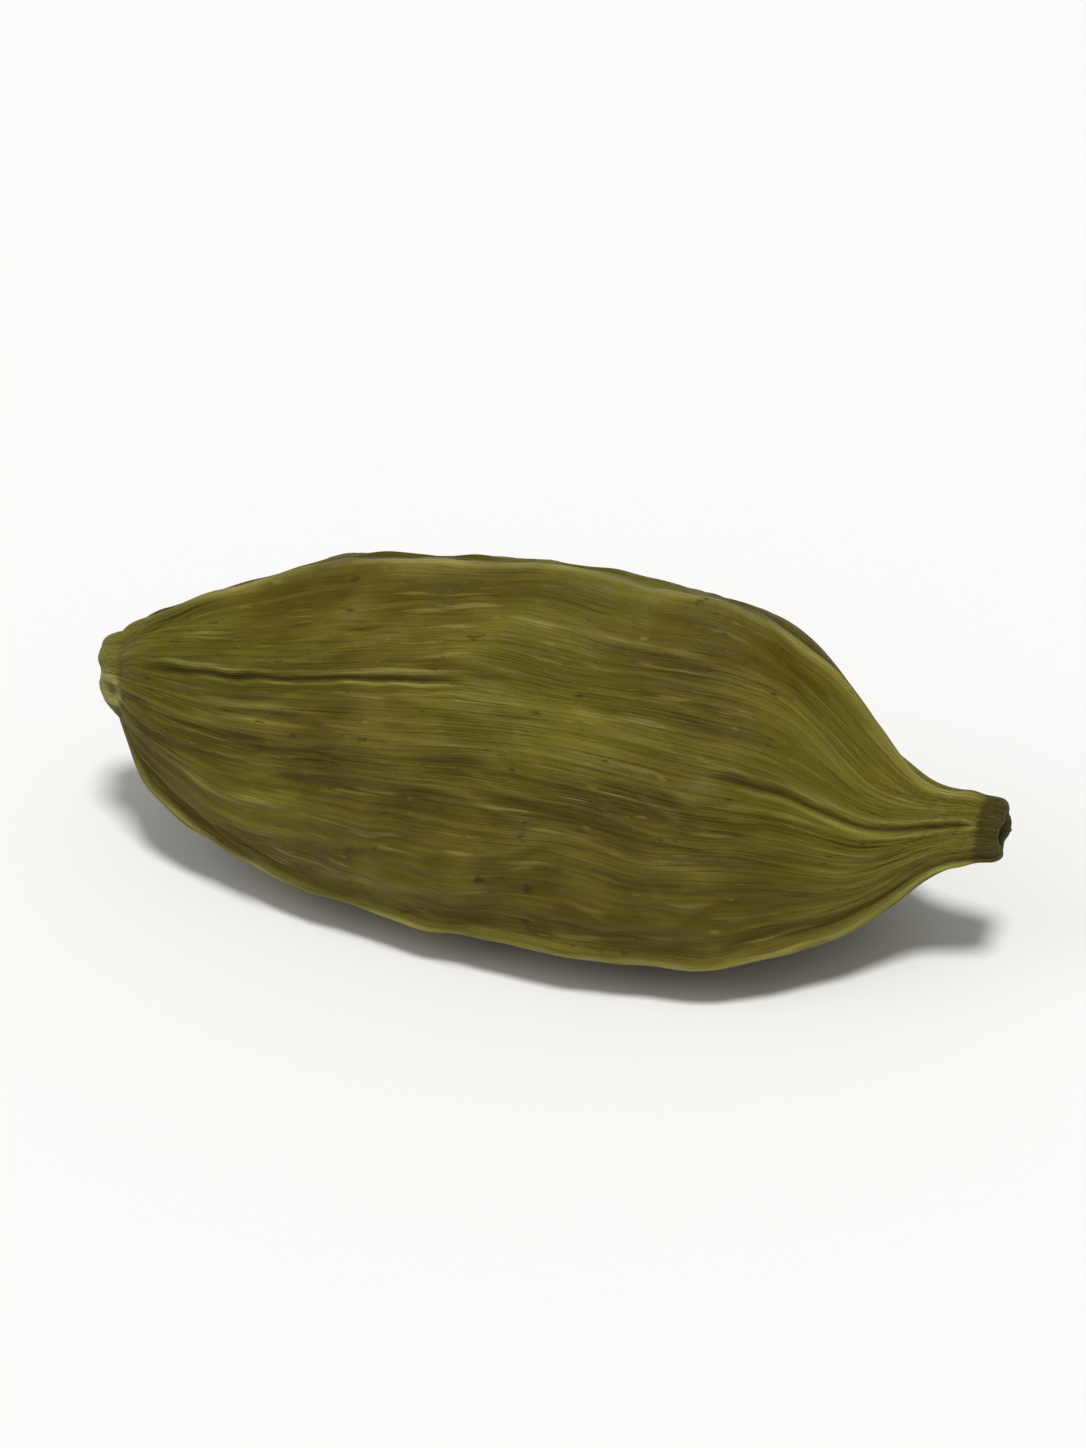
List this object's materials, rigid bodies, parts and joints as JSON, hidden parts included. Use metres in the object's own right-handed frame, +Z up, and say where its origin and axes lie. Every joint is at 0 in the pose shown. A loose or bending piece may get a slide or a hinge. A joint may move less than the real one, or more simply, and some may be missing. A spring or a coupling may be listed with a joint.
{
  "type": "green cardamom pod",
  "caption": "Dried green cardamom pod lying on one face: a ridged and ribbed husk with a round stalk scar at its base and a narrow beak at its tip.",
  "frame": {"origin": "bottom centre of the bounding box, on the surface that the pod lies on", "axes": "+X from the stalk scar to the beak, +Z up through the top ridge, +Y to the side"},
  "size_m": [0.0172, 0.007, 0.0068],
  "materials": {
    "husk": "dry olive green husk, matt to satin, with pale veins and small brown specks"
  },
  "bodies": {
    "root": {"cardamom_pod": "husk"}
  },
  "joints": []
}
